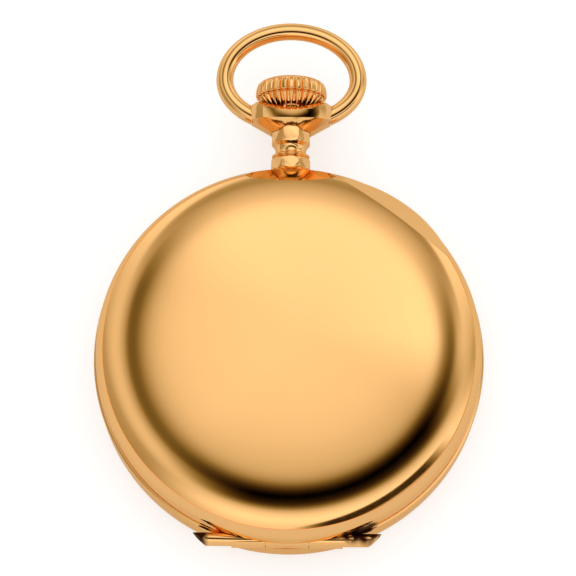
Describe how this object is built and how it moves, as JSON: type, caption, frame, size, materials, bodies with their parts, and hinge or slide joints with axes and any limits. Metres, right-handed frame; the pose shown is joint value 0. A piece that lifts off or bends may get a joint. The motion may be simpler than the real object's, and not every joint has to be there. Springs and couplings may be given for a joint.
{
  "type": "full hunter pocket watch",
  "caption": "Full hunter pocket watch: domed hinged covers over glass, dial and a keyless lever movement, with fluted crown, pendant and swinging oval bow.",
  "frame": {"origin": "centre of the back cover's flat resting face", "axes": "+Z out of the front cover, +Y towards the pendant, +X to the right seen from the front"},
  "size_m": [0.052, 0.0731, 0.016],
  "materials": {
    "case_gold": "polished yellow gold",
    "glass": "clear polished mineral glass",
    "blued_steel": "heat blued, polished",
    "steel": "fine ground and polished",
    "gilt_brass": "gilt, circular grained",
    "nickel_plate": "nickel plated, striped and frosted",
    "enamel": "white vitreous enamel",
    "ruby": "polished synthetic ruby"
  },
  "bodies": {
    "case_and_movement": {"case_band": "case_gold", "pendant": "case_gold", "pendant_sleeve": "steel", "front_hinge_pin": "steel", "back_hinge_pin": "steel", "cuvette_hinge_pin": "steel", "bezel": "case_gold", "crystal": "glass", "lift_spring": "blued_steel", "spring_screws": "steel", "case_screws": "blued_steel", "main_plate": "nickel_plate", "dial": "enamel", "dial_screws": "steel", "barrel_bridge": "nickel_plate", "train_bridge": "nickel_plate", "pallet_bridge": "nickel_plate", "balance_cock": "nickel_plate", "regulator": "steel", "click_spring": "blued_steel", "crown_wheel_screw": "blued_steel", "jewels": "ruby", "bridge_screws": "blued_steel"},
    "front_lid": {"front_cover": "case_gold"},
    "back_lid": {"back_cover": "case_gold"},
    "dust_lid": {"cuvette": "case_gold"},
    "bow_ring": {"bow": "case_gold"},
    "winding_pinion_body": {"winding_pinion": "steel"},
    "clutch_body": {"clutch": "steel"},
    "stem_body": {"stem": "steel"},
    "crown_body": {"crown": "case_gold"},
    "lock_spring_body": {"lock_spring": "blued_steel"},
    "crown_wheel_body": {"crown_wheel": "steel"},
    "ratchet_body": {"ratchet_wheel": "steel", "ratchet_screw": "blued_steel", "barrel_arbor": "steel"},
    "click_body": {"click": "steel"},
    "setting_lever_body": {"setting_lever": "steel"},
    "yoke_body": {"yoke": "steel"},
    "setting_wheel_body": {"setting_wheel": "steel"},
    "minute_wheel_body": {"minute_wheel": "gilt_brass"},
    "hour_body": {"hour_wheel": "gilt_brass", "hour_hand": "blued_steel"},
    "minute_body": {"cannon_pinion": "steel", "minute_hand": "blued_steel"},
    "barrel_body": {"barrel": "gilt_brass", "barrel_cover": "gilt_brass", "mainspring": "steel"},
    "centre_body": {"centre_wheel": "gilt_brass"},
    "third_body": {"third_wheel": "gilt_brass"},
    "fourth_body": {"fourth_wheel": "gilt_brass", "seconds_hand": "blued_steel"},
    "escape_body": {"escape_wheel": "steel"},
    "fork_body": {"pallet_fork": "steel"},
    "balance_body": {"balance": "gilt_brass", "roller": "steel", "hairspring": "blued_steel"}
  },
  "joints": [
    {"name": "front_cover_hinge", "type": "hinge", "parent": "case_and_movement", "child": "front_lid", "pos_m": [0, -0.025, 0.00835], "axis": [1, 0, 0], "range_deg": [0, 90]},
    {"name": "back_cover_hinge", "type": "hinge", "parent": "case_and_movement", "child": "back_lid", "pos_m": [0, -0.025, 0.0067], "axis": [-1, 0, 0], "range_deg": [0, 90]},
    {"name": "cuvette_hinge", "type": "hinge", "parent": "case_and_movement", "child": "dust_lid", "pos_m": [0, -0.02425, 0.00472], "axis": [-1, 0, 0], "range_deg": [0, 60]},
    {"name": "bow_swing", "type": "hinge", "parent": "case_and_movement", "child": "bow_ring", "pos_m": [0, 0.0343, 0.0076], "axis": [1, 0, 0], "range_deg": [-90, 90]},
    {"name": "winding_turn", "type": "hinge", "parent": "case_and_movement", "child": "winding_pinion_body", "pos_m": [0, 0, 0.0076], "axis": [0, 1, 0], "continuous": true},
    {"name": "clutch_shift", "type": "slide", "parent": "winding_pinion_body", "child": "clutch_body", "axis": [0, 1, 0], "range_m": [-0.0007, 0]},
    {"name": "crown_pull", "type": "slide", "parent": "winding_pinion_body", "child": "stem_body", "axis": [0, 1, 0], "range_m": [0, 0.0009]},
    {"name": "crown_push", "type": "slide", "parent": "stem_body", "child": "crown_body", "axis": [0, 1, 0], "range_m": [-0.0006, 0]},
    {"name": "lock_spring_flex", "type": "hinge", "parent": "case_and_movement", "child": "lock_spring_body", "pos_m": [-0.02248, 0.00645, 0.0076], "axis": [0, 0, 1], "range_deg": [-1.6, 0]},
    {"name": "crown_wheel_turn", "type": "hinge", "parent": "case_and_movement", "child": "crown_wheel_body", "pos_m": [0, 0.01435, 0.0076], "axis": [0, 0, 1], "continuous": true},
    {"name": "ratchet_turn", "type": "hinge", "parent": "case_and_movement", "child": "ratchet_body", "pos_m": [-0.00856, 0.00399, 0.0076], "axis": [0, 0, 1], "continuous": true},
    {"name": "click_swing", "type": "hinge", "parent": "case_and_movement", "child": "click_body", "pos_m": [-0.01754, -0.00019, 0.0076], "axis": [0, 0, 1], "range_deg": [0, 8], "stiffness_Nm_per_rad": 0.00005, "springref_deg": -5.73},
    {"name": "setting_lever_swing", "type": "hinge", "parent": "case_and_movement", "child": "setting_lever_body", "pos_m": [0.0052, 0.0181, 0.0076], "axis": [0, 0, 1], "range_deg": [-13, 0]},
    {"name": "yoke_swing", "type": "hinge", "parent": "case_and_movement", "child": "yoke_body", "pos_m": [0.0054, 0.011, 0.0076], "axis": [0, 0, 1], "range_deg": [0, 10]},
    {"name": "setting_wheel_turn", "type": "hinge", "parent": "case_and_movement", "child": "setting_wheel_body", "pos_m": [0, 0.00975, 0.0076], "axis": [0, 0, 1], "continuous": true},
    {"name": "minute_wheel_turn", "type": "hinge", "parent": "case_and_movement", "child": "minute_wheel_body", "pos_m": [0.00252, 0.00409, 0.0076], "axis": [0, 0, 1], "continuous": true},
    {"name": "hour_hand_turn", "type": "hinge", "parent": "case_and_movement", "child": "hour_body", "pos_m": [0, 0, 0.0076], "axis": [0, 0, 1], "continuous": true},
    {"name": "minute_hand_turn", "type": "hinge", "parent": "case_and_movement", "child": "minute_body", "pos_m": [0, 0, 0.0076], "axis": [0, 0, 1], "continuous": true},
    {"name": "barrel_turn", "type": "hinge", "parent": "case_and_movement", "child": "barrel_body", "pos_m": [-0.00856, 0.00399, 0.0076], "axis": [0, 0, 1], "continuous": true},
    {"name": "centre_wheel_turn", "type": "hinge", "parent": "case_and_movement", "child": "centre_body", "pos_m": [0, 0, 0.0076], "axis": [0, 0, 1], "continuous": true},
    {"name": "third_wheel_turn", "type": "hinge", "parent": "case_and_movement", "child": "third_body", "pos_m": [0.00615, 0.00455, 0.0076], "axis": [0, 0, 1], "continuous": true},
    {"name": "fourth_wheel_turn", "type": "hinge", "parent": "case_and_movement", "child": "fourth_body", "pos_m": [0.0103, 0, 0.0076], "axis": [0, 0, 1], "continuous": true},
    {"name": "escape_wheel_turn", "type": "hinge", "parent": "case_and_movement", "child": "escape_body", "pos_m": [0.00931, -0.00563, 0.0076], "axis": [0, 0, 1], "continuous": true},
    {"name": "pallet_fork_swing", "type": "hinge", "parent": "case_and_movement", "child": "fork_body", "pos_m": [0.00652, -0.00961, 0.0076], "axis": [0, 0, 1], "range_deg": [-5, 5]},
    {"name": "balance_swing", "type": "hinge", "parent": "case_and_movement", "child": "balance_body", "pos_m": [0.00133, -0.01261, 0.0076], "axis": [0, 0, 1], "range_deg": [-270, 270], "stiffness_Nm_per_rad": 0.0000009}
  ],
  "couplings": [
    {"joint": "cuvette_hinge", "follows": "back_cover_hinge", "ratio": 0.6},
    {"joint": "clutch_shift", "follows": "crown_pull", "ratio": -0.75},
    {"joint": "setting_lever_swing", "follows": "crown_pull", "rad_per_m": -200},
    {"joint": "yoke_swing", "follows": "crown_pull", "rad_per_m": 141},
    {"joint": "lock_spring_flex", "follows": "crown_push", "rad_per_m": 40},
    {"joint": "crown_wheel_turn", "follows": "winding_turn", "ratio": 0.5},
    {"joint": "ratchet_turn", "follows": "winding_turn", "ratio": -0.3},
    {"joint": "third_wheel_turn", "follows": "fourth_wheel_turn", "ratio": -0.13333},
    {"joint": "escape_wheel_turn", "follows": "fourth_wheel_turn", "ratio": -10},
    {"joint": "centre_wheel_turn", "follows": "fourth_wheel_turn", "ratio": 0.016667},
    {"joint": "barrel_turn", "follows": "fourth_wheel_turn", "ratio": -0.0020833},
    {"joint": "minute_hand_turn", "follows": "fourth_wheel_turn", "ratio": 0.016667},
    {"joint": "hour_hand_turn", "follows": "fourth_wheel_turn", "ratio": 0.0013889},
    {"joint": "minute_wheel_turn", "follows": "fourth_wheel_turn", "ratio": -0.0055556},
    {"joint": "setting_wheel_turn", "follows": "fourth_wheel_turn", "ratio": 0.0076923}
  ]
}
